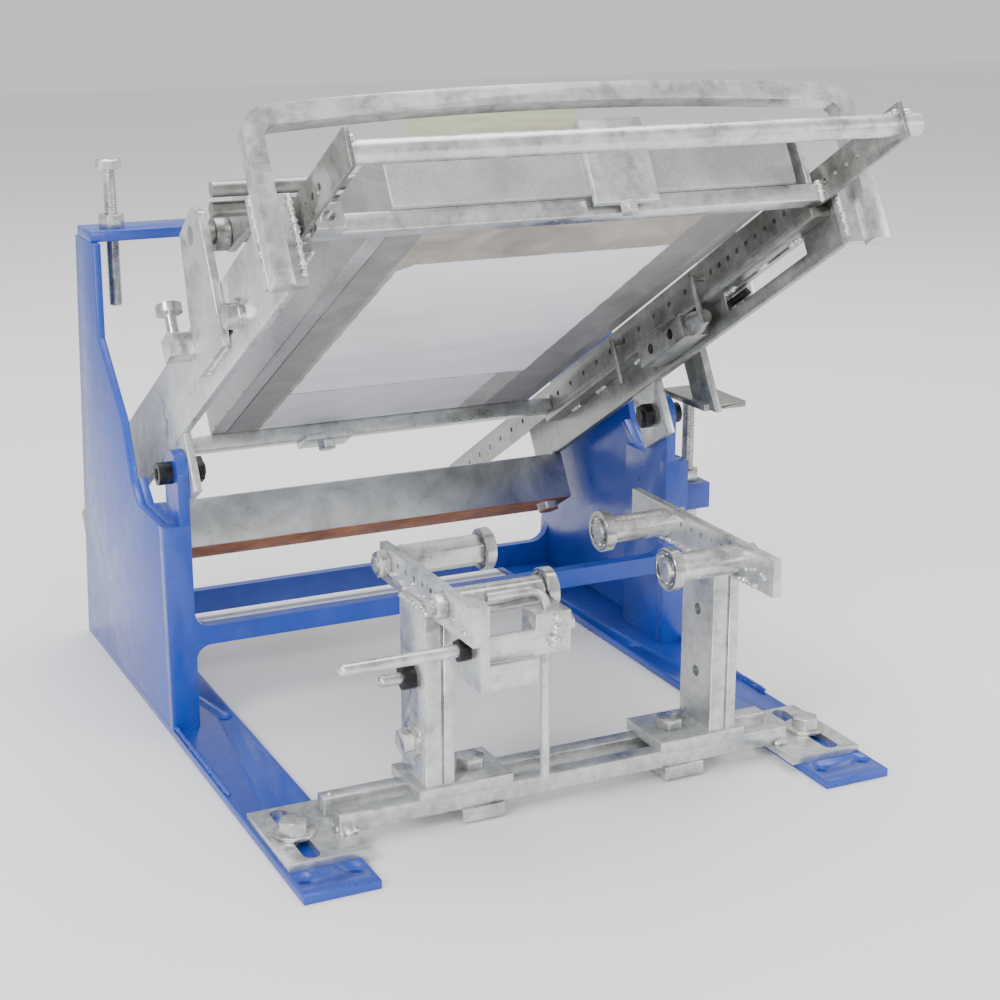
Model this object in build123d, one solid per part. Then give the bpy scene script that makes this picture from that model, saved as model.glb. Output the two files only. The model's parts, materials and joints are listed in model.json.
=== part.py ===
from build123d import *
import math
import os

# Manual screen printing press for cylindrical objects: a welded base, a tilting head with a
# sliding screen frame, and two adjustable posts whose four bearings carry the object.
# Units are millimetres. X is across the machine, -Y is the operator's side, +Z is up.
# The origin is on the bench, at the centre of the four bench bolt holes.

# ---- base ----
FOOT_OUT = 211.0          # outer edge of each foot from the centre plane
FOOT_WIDTH = 50.0
FOOT_THICK = 6.0
FOOT_FRONT = -150.0
FOOT_REAR = 370.0
BENCH_HOLE_X = 170.0      # four holes of the bench pattern
BENCH_HOLE_Y = 130.0
BENCH_HOLE_R = 3.5
EXTRA_HOLE_X = 203.0      # second hole at the front end of each foot
COUNTERSINK_R = 6.0
PLATE_THICK = 6.0         # side plates
FRONT_Y = 122.0           # front face of the uprights
YOKE_THICK = 10.0
UPRIGHT_WIDTH = 20.0
SHELF_Z = 157.0           # top of the shoulder beside each pivot ear
SHELF_REAR = 186.0
POST_TOP_Z = 333.0
CROSSBAR_Z = 67.0
CROSSBAR_HEIGHT = 14.0
CROSSBAR_FILLET = 11.0
EAR_THICK = 8.0
EAR_DEPTH = 32.0

# ---- head pivot and tilt ----
PIVOT_Y = 138.0
PIVOT_Z = 192.0
PIVOT_R = 5.0
TILT = 30.5               # the head's raised angle, degrees

# ---- head, measured in the lowered position from the pivot ----
ARM_IN = 185.0            # inner face of each side arm
ARM_OUT = 190.7
ARM_LOW = 22.0
ARM_HIGH = 75.0
ARM_FRONT = -296.0
ARM_REAR = 214.0
WEIGHT = 40.0             # square counterweight bar
HINGE_WIDTH = 42.0
WINDOW_REAR = -143.0      # window in the right arm, with the return spring in its rear end
WINDOW_LOW = 32.0
WINDOW_HIGH = 43.0
SPRING_R = 2.7
SPRING_WIRE = 0.8
SPRING_LENGTH = 27.0

# ---- screen carriage and screen frame ----
STRIP_OUT = 180.0         # outer face of each perforated side strip
STRIP_THICK = 3.0
STRIP_LOW = 51.0
STRIP_HIGH = 74.0
STRIP_FRONT = -392.0
STRIP_REAR = 385.0
STRIP_HOLE_R = 2.2
STRIP_HOLE_Z = 62.0
CLOSE_STEP = 13.0         # hole spacing of the front half
WIDE_STEP = 26.0          # hole spacing of the rear half
ROD_R = 7.0
ROD_Y = -383.0
ROD_Z = 62.5
STOP_PIN_X = 168.0
STOP_PIN_FRONT = -133.5
STOP_PIN_REAR = 1.0
BAR = 12.0                # square bars of carriage and rail
BAR_LOW = 52.0
FRONT_BAR_Y = -296.0
REAR_BAR_Y = 144.0
SCREEN_X0 = -122.0
SCREEN_X1 = 158.0
SCREEN_Y0 = -300.0
SCREEN_Y1 = 146.0
SCREEN_LOW = 64.0
SCREEN_HIGH = 105.0
SCREEN_MEMBER = 32.0
MESH_THICK = 0.6

# ---- squeegee ----
SHAFT_Y = -146.0
SHAFT_Z = 116.0
SHAFT_R = 6.5
UPPER_BAR = (-207.0, 121.0)
LOWER_BAR = (-199.0, 111.0)
CROSSBAR_R = 5.0
SQUEEGEE_X0 = -62.0
SQUEEGEE_X1 = 50.0
PLATE_HIGH = 136.0        # top of the clamp plate, where the grip starts
GRIP_LEAN = 12.0          # lean of the grip, degrees

# ---- rail and posts ----
RAIL_HALF = 166.0
RAIL_LOW = 11.0
RAIL_FRONT_Y = -92.5
RAIL_REAR_Y = -64.0
RAIL_MID_Y = -72.25
POST_WIDTH = 20.0
POST_DEPTH = 40.0
BASE_THICK = 8.0          # foot plate of each post
POST_HIGH = 148.0
LEFT_POST_X = -97.0
RIGHT_POST_X = 113.0
CARRIER_THICK = 6.0
CARRIER_LOW = 148.0
CARRIER_HIGH = 173.0
ROLLER_Z = 162.0
ROLLER_SPACING = 90.0
BEARING_OD = 28.0         # light series ball bearing, 28 x 12 x 8
BEARING_ID = 12.0
BEARING_WIDTH = 8.0
STANDOFF_AF = 19.0
BRACKET_BOLT_X = 191.0
BRACKET_BOLT_Y = -78.0

# ---- adjustable stops of the head ----
PRINT_STOP_X = -190.0     # long screw, sets the lowered head
PRINT_STOP_Y = 300.0
PRINT_STOP_END = 282.0
TILT_STOP_X = 225.0       # stud, sets the raised head
TILT_STOP_Y = 147.0
TILT_STOP_TOP = 199.6

# ---- registration device ----
REG_X = -48.0             # vertical run of the bent rod
REG_Y = -142.0
PIN_Y = -139.0            # long pin through the bracket
PIN_Z = 140.0

# label, post x, side of its clamping bolt, hole heights, carrier x0 and y0 and y1,
# standoff from carrier face to bearing, direction of the standoff
POSTS = (
    ("left", LEFT_POST_X, 1, (57, 100), (-105, -160, -15), (-99, -40), 1),
    ("right", RIGHT_POST_X, -1, (68, 113), (104, -160, 22), (104, 58), -1),
)

os.makedirs("parts", exist_ok=True)


# ---------------------------------------------------------------- helpers

def block(x0, x1, y0, y1, z0, z1):
    """Box between two corners."""
    centre = ((x0 + x1) / 2, (y0 + y1) / 2, (z0 + z1) / 2)
    return Pos(*centre) * Box(abs(x1 - x0), abs(y1 - y0), abs(z1 - z0))


def rod_x(x0, x1, y, z, r):
    """Round bar along X."""
    return Pos((x0 + x1) / 2, y, z) * Rot(0, 90, 0) * Cylinder(r, abs(x1 - x0))


def rod_y(x, y0, y1, z, r):
    """Round bar along Y."""
    return Pos(x, (y0 + y1) / 2, z) * Rot(90, 0, 0) * Cylinder(r, abs(y1 - y0))


def rod_z(x, y, z0, z1, r):
    """Round bar along Z."""
    return Pos(x, y, (z0 + z1) / 2) * Cylinder(r, abs(z1 - z0))


def hex_x(x0, x1, y, z, across):
    """Hexagonal bar along X."""
    prism = extrude(RegularPolygon(across / math.sqrt(3), 6), abs(x1 - x0))
    return Pos(min(x0, x1), y, z) * Rot(0, 90, 0) * prism


def hex_z(x, y, z0, z1, across):
    """Hexagonal bar along Z."""
    return Pos(x, y, min(z0, z1)) * extrude(RegularPolygon(across / math.sqrt(3), 6), abs(z1 - z0))


def ring_x(x0, x1, y, z, outer, inner):
    """Plain ring or washer along X."""
    low, high = min(x0, x1), max(x0, x1)
    return rod_x(low, high, y, z, outer) - rod_x(low - 1, high + 1, y, z, inner)


def ring_z(x, y, z0, z1, outer, inner):
    """Plain ring or washer along Z."""
    return rod_z(x, y, z0, z1, outer) - rod_z(x, y, z0 - 1, z1 + 1, inner)


def plate_yz(points, x0, x1):
    """Flat plate with an outline in Y and Z, between two X faces."""
    face = make_face(Polyline(*[(y, z) for y, z in points], close=True))
    return Pos(min(x0, x1), 0, 0) * Rot(0, 90, 0) * Rot(0, 0, 90) * extrude(face, abs(x1 - x0))


def mirrored(shape):
    """The same piece on the other side of the machine."""
    return mirror(shape, about=Plane.YZ)


def on_head(shape):
    """Place a piece drawn for the lowered head on the raised head."""
    return Pos(0, PIVOT_Y, PIVOT_Z) * Rot(-TILT, 0, 0) * shape


def save(shape, name):
    """Write one node."""
    export_step(shape, "parts/" + name + ".step")


def group(*shapes):
    """Several separate solids in one node."""
    solids = []
    for shape in shapes:
        solids.extend(shape.solids())
    return Compound(children=solids)


# ---------------------------------------------------------------- base

def foot():
    """Left foot: a flat bar with bench holes and the thread for the rail bolt."""
    bar = block(-FOOT_OUT, -FOOT_OUT + FOOT_WIDTH, FOOT_FRONT, FOOT_REAR, 0, FOOT_THICK)
    for x, y in bench_holes():
        bar -= rod_z(x, y, -1, FOOT_THICK + 1, BENCH_HOLE_R)
        bar -= Pos(x, y, FOOT_THICK - 1.25) * Cone(BENCH_HOLE_R, COUNTERSINK_R, 2.5)
    bar -= rod_z(-BRACKET_BOLT_X, BRACKET_BOLT_Y, -1, FOOT_THICK + 1, 5.0)
    return bar


def bench_holes():
    """Hole centres of the left foot."""
    return [(-BENCH_HOLE_X, -BENCH_HOLE_Y), (-BENCH_HOLE_X, BENCH_HOLE_Y), (-EXTRA_HOLE_X, -BENCH_HOLE_Y)]


def side_plate():
    """Left side plate: low shoulder in front, tall post at the rear."""
    outline = [
        (FRONT_Y + YOKE_THICK, FOOT_THICK), (FOOT_REAR, FOOT_THICK), (330, POST_TOP_Z), (276, POST_TOP_Z),
        (278, 262), (222, 212), (204, 172), (SHELF_REAR, SHELF_Z), (FRONT_Y + YOKE_THICK, SHELF_Z)]
    return plate_yz(outline, -FOOT_OUT, -FOOT_OUT + PLATE_THICK)


def yoke():
    """Front plate cut from one sheet: two uprights joined by the crossbar with rounded inner corners."""
    inner = FOOT_OUT - UPRIGHT_WIDTH
    top = CROSSBAR_Z + CROSSBAR_HEIGHT
    sheet = block(-FOOT_OUT, FOOT_OUT, FRONT_Y, FRONT_Y + YOKE_THICK, FOOT_THICK, SHELF_Z)
    upper = Rectangle(2 * inner, SHELF_Z - top + 40)
    upper = fillet(upper.vertices().group_by(Axis.Y)[0], CROSSBAR_FILLET)
    lower = Rectangle(2 * inner, CROSSBAR_Z - FOOT_THICK + 40)
    lower = fillet(lower.vertices().group_by(Axis.Y)[-1], CROSSBAR_FILLET)
    for window, middle in ((upper, (top + SHELF_Z + 40) / 2), (lower, (CROSSBAR_Z + FOOT_THICK - 40) / 2)):
        cutter = Pos(0, FRONT_Y + YOKE_THICK + 1, middle) * Rot(90, 0, 0) * extrude(window, YOKE_THICK + 2)
        sheet -= cutter
    return sheet


def ear_plate():
    """Left inner plate of the upright, with the rounded pivot ear at its front."""
    x0 = -FOOT_OUT + UPRIGHT_WIDTH - EAR_THICK
    x1 = x0 + EAR_THICK
    ear_r = EAR_DEPTH / 2
    y_front = PIVOT_Y - ear_r
    lower = block(x0, x1, FRONT_Y + YOKE_THICK, SHELF_REAR, FOOT_THICK, SHELF_Z)
    ear = block(x0, x1, y_front, PIVOT_Y + ear_r, SHELF_Z, PIVOT_Z)
    crown = rod_x(x0, x1, PIVOT_Y, PIVOT_Z, ear_r)
    return lower + ear + crown - rod_x(x0 - 1, x1 + 1, PIVOT_Y, PIVOT_Z, PIVOT_R + 0.05)


def shelf():
    """Left shoulder cap between the side plate and the ear plate, sloping up at its rear."""
    x0 = -FOOT_OUT + PLATE_THICK
    x1 = -FOOT_OUT + UPRIGHT_WIDTH - EAR_THICK
    outline = [
        (FRONT_Y + YOKE_THICK, SHELF_Z), (SHELF_REAR, SHELF_Z), (204, 172), (208, 169),
        (190, 150), (FRONT_Y + YOKE_THICK, 150)]
    return plate_yz(outline, x0, x1)


def rear_crossbar():
    """Low tie bar between the rear ends of the side plates, with rounded end corners."""
    inner = FOOT_OUT - PLATE_THICK
    bar = block(-inner, inner, 352, 360, FOOT_THICK, 26)
    corner = block(-inner, -inner + 16, 352, 360, 26, 42) - rod_y(-inner + 16, 350, 362, 42, 16)
    return bar + corner + mirrored(corner)


def stop_arm():
    """Arm from the top of the left side plate, holding the long print stop bolt."""
    arm = block(-FOOT_OUT, -118, 282, 322, POST_TOP_Z, POST_TOP_Z + 8)
    return arm - rod_z(PRINT_STOP_X, PRINT_STOP_Y, POST_TOP_Z - 1, POST_TOP_Z + 9, 5.05)


def stop_lug():
    """Lug on the outside of the right side plate, holding the tilt stop bolt."""
    lug = block(FOOT_OUT, FOOT_OUT + 27, 132, 160, 112, 133)
    return lug - rod_z(TILT_STOP_X, TILT_STOP_Y, 111, 134, 5.05)


def print_stop_bolt():
    """Long screw that sets the lowest position of the head."""
    shank = rod_z(PRINT_STOP_X, PRINT_STOP_Y, PRINT_STOP_END, 384, 5.0)
    return shank + hex_z(PRINT_STOP_X, PRINT_STOP_Y, 384, 392, 17)


def print_stop_nut():
    """Lock nut of the print stop."""
    low = POST_TOP_Z + 8
    nut = hex_z(PRINT_STOP_X, PRINT_STOP_Y, low, low + 10, 17)
    return nut - rod_z(PRINT_STOP_X, PRINT_STOP_Y, low - 1, low + 11, 5.0)


def tilt_stop_bolt():
    """Stud that the head's stop foot rests on when the head is raised."""
    return rod_z(TILT_STOP_X, TILT_STOP_Y, 96, TILT_STOP_TOP, 5.0)


def tilt_stop_nuts():
    """Lock nuts above and below the lug."""
    upper = hex_z(TILT_STOP_X, TILT_STOP_Y, 133, 142, 17)
    lower = hex_z(TILT_STOP_X, TILT_STOP_Y, 103, 112, 17)
    hole = rod_z(TILT_STOP_X, TILT_STOP_Y, 90, 150, 5.0)
    return group(upper - hole, lower - hole)


def pivot_screw():
    """Left socket head screw that the head turns on."""
    face = -FOOT_OUT + UPRIGHT_WIDTH - EAR_THICK
    head = rod_x(face - 10, face, PIVOT_Y, PIVOT_Z, 8.0) - hex_x(face - 11, face - 5, PIVOT_Y, PIVOT_Z, 8)
    shank = rod_x(face, -ARM_IN + 10, PIVOT_Y, PIVOT_Z, PIVOT_R)
    return head + shank


def pivot_nut():
    """Left lock nut of the pivot screw, on the inner side of the hinge plate."""
    x0 = -ARM_IN + 0.3
    nut = hex_x(x0, x0 + 8, PIVOT_Y, PIVOT_Z, 17)
    return nut - rod_x(x0 - 1, x0 + 9, PIVOT_Y, PIVOT_Z, PIVOT_R)


# ---------------------------------------------------------------- rail

def rail_bar(y):
    """One of the two parallel square bars."""
    return block(-RAIL_HALF, RAIL_HALF, y, y + BAR, RAIL_LOW, RAIL_LOW + BAR)


def rail_bracket():
    """Left end plate of the rail, with a slot for the clamping bolt."""
    plate = block(-209, -155, -118, -38, FOOT_THICK, RAIL_LOW)
    slot = block(-BRACKET_BOLT_X - 5.5, -BRACKET_BOLT_X + 5.5, -109, -47, 0, 20)
    ends = rod_z(-BRACKET_BOLT_X, -109, 0, 20, 5.5) + rod_z(-BRACKET_BOLT_X, -47, 0, 20, 5.5)
    return plate - slot - ends


def bracket_bolt(side):
    """Hex bolt that clamps one rail bracket to its foot."""
    x = side * BRACKET_BOLT_X
    shank = rod_z(x, BRACKET_BOLT_Y, 0.2, 13.5, 4.95)
    return shank + hex_z(x, BRACKET_BOLT_Y, 13.5, 20.5, 17)


def bracket_washer(side):
    """Large washer under the bracket bolt."""
    return ring_z(side * BRACKET_BOLT_X, BRACKET_BOLT_Y, RAIL_LOW, 13.5, 14, 5.2)


# ---------------------------------------------------------------- posts

def post(x, hole_low, hole_high):
    """Upright of one roller post, with two cross holes and a shallow groove down its front."""
    half = POST_WIDTH / 2
    y0 = RAIL_MID_Y - POST_DEPTH / 2
    y1 = RAIL_MID_Y + POST_DEPTH / 2
    low = RAIL_LOW + BAR + BASE_THICK
    body = block(x - half, x + half, y0, y1, low, POST_HIGH)
    body -= block(x + 1, x + 3, y0 - 1, y0 + 2, low - 1, POST_HIGH + 1)
    for z in (hole_low, hole_high):
        body -= rod_x(x - half - 1, x + half + 1, RAIL_MID_Y, z, 4.0)
    return body


def post_base(x, side):
    """Foot plate of a post on top of the rail; side is where its clamping bolt stands."""
    x0 = x - 16 if side > 0 else x - 50
    x1 = x + 50 if side > 0 else x + 16
    low = RAIL_LOW + BAR
    plate = block(x0, x1, RAIL_MID_Y - 24, RAIL_MID_Y + 24, low, low + BASE_THICK)
    return plate - rod_z(x + side * 30, RAIL_MID_Y, low - 1, low + BASE_THICK + 1, 5.2)


def post_bolt(x, side):
    """Hex bolt from the foot plate, through the gap of the rail, into the clamp block."""
    px = x + side * 30
    top = RAIL_LOW + BAR + BASE_THICK
    return rod_z(px, RAIL_MID_Y, 2.5, top, 4.95) + hex_z(px, RAIL_MID_Y, top, top + 7, 17)


def clamp_block(x, side):
    """Block under the rail that the post's bolt pulls up."""
    px = x + side * 30
    body = block(px - 15, px + 15, RAIL_MID_Y - 22, RAIL_MID_Y + 22, 2.0, RAIL_LOW)
    return body - rod_z(px, RAIL_MID_Y, 0, 20, 5.0)


def carrier(x0, y0, y1):
    """Plate across the top of a post; rows of holes take the roller standoffs."""
    x1 = x0 + CARRIER_THICK
    plate = block(x0, x1, y0, y1, CARRIER_LOW, CARRIER_HIGH)
    for y in (RAIL_MID_Y - ROLLER_SPACING / 2, RAIL_MID_Y + ROLLER_SPACING / 2):
        plate -= rod_x(x0 - 1, x1 + 1, y, ROLLER_Z, 5.0)
    for step in range(-2, 3):
        plate -= rod_x(x0 - 1, x1 + 1, RAIL_MID_Y + step * 13, ROLLER_Z + 3, 1.8)
    return plate


def carrier_foot(x):
    """Plate welded between the top of a post and its carrier."""
    half = POST_WIDTH / 2
    return block(x - half, x + half, RAIL_MID_Y - 14, RAIL_MID_Y + 14, POST_HIGH, POST_HIGH + 6)


def standoff(face, tip, y, hexagonal):
    """Spacer bar from the carrier to a bearing, with the axle and inner ring at its tip and a nut behind."""
    step = 1 if tip > face else -1
    if hexagonal:
        body = hex_x(face, tip, y, ROLLER_Z, STANDOFF_AF)
    else:
        body = rod_x(face, tip, y, ROLLER_Z, STANDOFF_AF / 2)
    axle = rod_x(tip, tip + step * (BEARING_WIDTH + 1.2), y, ROLLER_Z, BEARING_ID / 2)
    inner_ring = rod_x(tip, tip + step * BEARING_WIDTH, y, ROLLER_Z, 8)
    back = face - step * CARRIER_THICK
    stud = rod_x(face, back - step * 9, y, ROLLER_Z, 5.0)
    nut = hex_x(back, back - step * 7, y, ROLLER_Z, 16)
    return body + axle + inner_ring + stud + nut


def bearing_outer(tip, step, y):
    """Outer ring and shields of a bearing: the part that rolls."""
    a = tip + step * 0.5
    b = tip + step * (BEARING_WIDTH - 0.1)
    ring = ring_x(a, b, y, ROLLER_Z, BEARING_OD / 2, 11.5)
    shield = ring_x(a + step * 0.8, b - step * 0.8, y, ROLLER_Z, 11.6, 8.06)
    return ring + shield


def post_side_bolt(x, z):
    """Clamping bolt through the left post from its outer side, with a washer."""
    face = x - POST_WIDTH / 2
    head = hex_x(face - 9.5, face - 2.5, RAIL_MID_Y, z, 15)
    washer = rod_x(face - 2.5, face, RAIL_MID_Y, z, 12)
    return head + washer + rod_x(face, face + POST_WIDTH, RAIL_MID_Y, z, 4.0)


def post_stud(x, z):
    """Height stud through the left post, with a round tip on its outer end."""
    face = x - POST_WIDTH / 2
    tip = Pos(face - 20, RAIL_MID_Y, z) * Sphere(4.0)
    return rod_x(face - 20, face + POST_WIDTH, RAIL_MID_Y, z, 4.0) + tip


def post_stud_nut(x, z):
    """Black nut that locks the height stud."""
    face = x - POST_WIDTH / 2
    return hex_x(face - 8, face, RAIL_MID_Y, z, 15) - rod_x(face - 9, face + 1, RAIL_MID_Y, z, 4.0)


# ---------------------------------------------------------------- registration device

def reg_bracket():
    """Plate on the inner face of the left carrier's front end, with a lower tongue."""
    plate = block(-99, -92.7, -158, -124, 118, 148)
    plate -= rod_x(-100, -90, PIN_Y, PIN_Z, 4.05)
    ear = block(-99, -92.7, -158, -134, 148, 172)
    tongue = block(-92.7, -60.3, -158, -153, 118, 134)
    return plate + ear + tongue


def reg_block():
    """Drilled block that holds the bent rod, with its clamping screw."""
    body = block(-60, -36, -152.7, -133, 134, 160)
    body -= rod_z(REG_X, REG_Y, 130, 162, 3.0)
    seat = block(-92.7, -60, -152.7, -147, 134, 150)
    screw = hex_x(-36, -30, REG_Y, 148, 9)
    return body + seat + screw


def reg_rod():
    """Bent rod: straight down through the block, its top turned over to the left."""
    path = FilletPolyline((-88, REG_Y, 172), (REG_X, REG_Y, 172), (REG_X, REG_Y, 48), radius=12)
    section = Plane(origin=path @ 0, z_dir=path % 0) * Circle(2.95)
    return sweep(section, path=path)


def reg_pin():
    """Long round-ended pin that slides along X through the bracket."""
    return rod_x(-178, -80, PIN_Y, PIN_Z, 4.0) + Pos(-178, PIN_Y, PIN_Z) * Sphere(4.0)


def reg_pin_nuts():
    """Black nut outside and zinc nut inside the bracket."""
    hole = rod_x(-115, -80, PIN_Y, PIN_Z, 4.05)
    outer = hex_x(-106, -99, PIN_Y, PIN_Z, 13) - hole
    inner = hex_x(-92.7, -86, PIN_Y, PIN_Z, 13) - hole
    return group(outer, inner)


# ---------------------------------------------------------------- head structure

def arm_web():
    """Left arm of the head: a deep flat bar."""
    return block(-ARM_OUT, -ARM_IN, ARM_FRONT, ARM_REAR, ARM_LOW, ARM_HIGH)


def left_arm():
    """Left arm with its long adjusting slot."""
    return arm_web() - block(-200, -180, -196, -96, 40, 49)


def right_arm():
    """Right arm with a long window near its front."""
    return mirrored(arm_web() - block(-200, -180, -252, WINDOW_REAR, WINDOW_LOW, WINDOW_HIGH))


def arm_end():
    """Left cross plate closing the front of the arm, where the handle is welded on."""
    return block(-208, -ARM_IN + 2, ARM_FRONT - 6, ARM_FRONT, 20, 76)


def guide_rail():
    """Left guide bar on the inner side of the arm; the carriage strip slides on top of it."""
    return block(-ARM_IN, -171, -288, 150, 44, 50.4)


def hinge_plate():
    """Left hinge plate, welded under the arm and turning on the pivot screw."""
    half = HINGE_WIDTH / 2
    plate = block(-ARM_OUT, -ARM_IN, -half, half, -21, ARM_LOW)
    return plate - rod_x(-195, -180, 0, 0, PIVOT_R + 0.05)


def counterweight():
    """Solid square bar under the rear ends of the arms that balances the head."""
    return block(-ARM_OUT, ARM_OUT, ARM_REAR - WEIGHT, ARM_REAR, ARM_LOW - WEIGHT, ARM_LOW)


def weight_bolt():
    """Hex bolt under the right end of the counterweight."""
    low = ARM_LOW - WEIGHT
    y = ARM_REAR - WEIGHT + 12
    return hex_z(172, y, low - 7, low, 17)


def tilt_stop_foot():
    """Bracket on the right arm; its foot plate is level when the head is raised and lands on the stud."""
    low = TILT_STOP_TOP + 0.2
    to_head = Rot(TILT, 0, 0) * Pos(0, -PIVOT_Y, -PIVOT_Z)
    foot_plate = to_head * block(212, 250, 103, 168, low, low + 5)
    under = to_head * block(200, 260, 60, 230, 100, low + 1)
    strut = block(216, 222, -44, -16, -20, 48) - under
    bridge = block(ARM_OUT, 222, -44, -16, 42, 48)
    return foot_plate + strut + bridge


def stop_block():
    """Drilled block under the right guide bar; the carriage pins stop against its ends."""
    body = block(163, ARM_IN, -112, -42, 26, 44)
    for y in (-62, -94):
        body -= rod_x(160, 190, y, 35, 4.0)
    return body


def stop_boss():
    """Round boss with a coned nose at the front end of the stop block."""
    cone = Pos(174, -124, 35) * Rot(90, 0, 0) * Cone(8.5, 5, 12)
    return rod_y(174, -118, -112, 35, 8.5) + cone


def handle():
    """Arched handle of square bar: two legs, rounded corners and a gentle arc between them."""
    half = 201.0
    top = 118.0
    rise = 8.0
    low = 17.0

    def sheet(edge, bottom, radius):
        a = half + edge
        t = top + edge
        arch = ThreePointArc((-a, t), (0, t + rise), (a, t))
        sides = Polyline((a, t), (a, bottom), (-a, bottom), (-a, t))
        face = make_face([arch, sides])
        return fillet(face.vertices().sort_by(Axis.Y)[-2:], radius)

    outline = sheet(BAR / 2, low, 17) - sheet(-BAR / 2, low - 5, 8)
    return Pos(0, ARM_FRONT - 6, 0) * Rot(90, 0, 0) * extrude(outline, BAR)


# ---------------------------------------------------------------- squeegee

def shaft_bracket():
    """Left bracket on the outside of the arm that holds the squeegee shaft."""
    outline = [(-166, 34), (-169, 78), (-170, 122), (-158, 131), (-123, 127), (-107, 74), (-104, 34)]
    plate = plate_yz(outline, -ARM_OUT - 6, -ARM_OUT)
    return plate - rod_x(-200, -190, SHAFT_Y, SHAFT_Z, SHAFT_R)


def bracket_fixing():
    """Hex bolt with a washer that clamps the left arm's slotted adjuster."""
    washer = rod_x(-ARM_OUT - 2, -ARM_OUT, -190, 44.5, 11)
    return washer + hex_x(-ARM_OUT - 9, -ARM_OUT - 2, -190, 44.5, 15)


def adjust_screw():
    """Round-headed adjusting screw in a small lug on the outside of the left arm."""
    lug = block(-208, -ARM_OUT, -88, -72, 56, 72)
    return lug + rod_z(-201, -80, 72, 88, 4.0) + rod_z(-201, -80, 88, 94, 9)


def shaft():
    """Round shaft the squeegee assembly swings on."""
    end = ARM_OUT + 6
    return rod_x(-end, end, SHAFT_Y, SHAFT_Z, SHAFT_R)


def swing_arm():
    """Left swing arm from the shaft to the two crossbars."""
    outline = [(-214, 108), (-216, 124), (-210, 130), (-140, 130), (-132, 118), (-138, 106), (-196, 102)]
    plate = plate_yz(outline, -172, -166)
    plate -= rod_x(-180, -160, SHAFT_Y, SHAFT_Z, SHAFT_R + 0.06)
    for y, z in (UPPER_BAR, LOWER_BAR):
        plate -= rod_x(-180, -160, y, z, CROSSBAR_R)
    return plate


def swing_collar():
    """Clamp collar on the shaft beside the left swing arm."""
    return ring_x(-182, -172.4, SHAFT_Y, SHAFT_Z, 11, SHAFT_R)


def squeegee_crossbar(place):
    """Round crossbar of the squeegee assembly."""
    return rod_x(-197, 197, place[0], place[1], CROSSBAR_R)


def holder_clamp(x):
    """Clamp block that grips both crossbars and carries the squeegee plate."""
    body = block(x - 9, x + 9, -214, -190, 103, 128)
    for y, z in (UPPER_BAR, LOWER_BAR):
        body -= rod_x(x - 10, x + 10, y, z, CROSSBAR_R)
    return body


def squeegee_plate():
    """Grey clamp plate of the squeegee, in front of the crossbars."""
    plate = block(SQUEEGEE_X0, SQUEEGEE_X1, -224, -214, 88, PLATE_HIGH)
    return plate - block(SQUEEGEE_X0 - 1, SQUEEGEE_X1 + 1, -221.5, -216.5, 80, 104)


def squeegee_blade():
    """Rubber blade held in the plate, its edge just clear of the mesh."""
    outline = [(-221.5, 104), (-216.5, 104), (-216.5, 72), (-219, 67.5), (-221.5, 72)]
    return plate_yz(outline, SQUEEGEE_X0 + 1, SQUEEGEE_X1 - 1)


def squeegee_grip():
    """Grip on top of the clamp plate, leaning towards the operator."""
    body = Box(SQUEEGEE_X1 - SQUEEGEE_X0, 28, 26)
    body = fillet(body.edges().filter_by(Axis.X), 5)
    middle = (SQUEEGEE_X0 + SQUEEGEE_X1) / 2
    placed = Pos(middle, -219, PLATE_HIGH + 10) * Rot(GRIP_LEAN, 0, 0) * body
    return placed - block(SQUEEGEE_X0 - 5, SQUEEGEE_X1 + 5, -250, -180, 106, PLATE_HIGH)


# ---------------------------------------------------------------- screen carriage

def side_strip():
    """Left perforated strip of the screen carriage."""
    x0 = -STRIP_OUT
    x1 = -STRIP_OUT + STRIP_THICK
    strip = block(x0, x1, STRIP_FRONT, STRIP_REAR, STRIP_LOW, STRIP_HIGH)
    close = [-341 + CLOSE_STEP * step for step in range(17)]
    wide = [-106 + WIDE_STEP * step for step in range(19)]
    for y in close + wide:
        strip -= rod_x(x0 - 1, x1 + 1, y, STRIP_HOLE_Z, STRIP_HOLE_R)
    return strip


def front_rod():
    """Round rod between the front ends of the strips, used to slide the screen."""
    return rod_x(-STRIP_OUT + STRIP_THICK, STRIP_OUT - STRIP_THICK, ROD_Y, ROD_Z, ROD_R)


def rod_end():
    """Welded knob on the right end of the front rod, outside the strip."""
    return rod_x(STRIP_OUT, STRIP_OUT + 14, ROD_Y, ROD_Z, ROD_R)


def carriage_bar(y):
    """Square crossbar of the carriage."""
    end = STRIP_OUT - STRIP_THICK
    return block(-end, end, y, y + BAR, BAR_LOW, BAR_LOW + BAR)


def stop_pin(y):
    """Pin hanging inside the right strip that limits the carriage's travel."""
    inner = STRIP_OUT - STRIP_THICK
    return rod_x(STOP_PIN_X, inner, y, STRIP_HOLE_Z, 2.2) + rod_z(STOP_PIN_X, y, 28, STRIP_HOLE_Z + 2.2, 2.2)


def screen_clamp():
    """Clamp folded over the front member of the screen frame, with a hexagon under its lower edge."""
    front = SCREEN_Y0
    cap = block(8, 52, front - 6, front + 36, SCREEN_HIGH, SCREEN_HIGH + 6)
    face = block(8, 52, front - 6, front, 56, SCREEN_HIGH)
    screw = hex_z(30, front - 4, 49, 56, 10)
    return cap + face + screw


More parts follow.
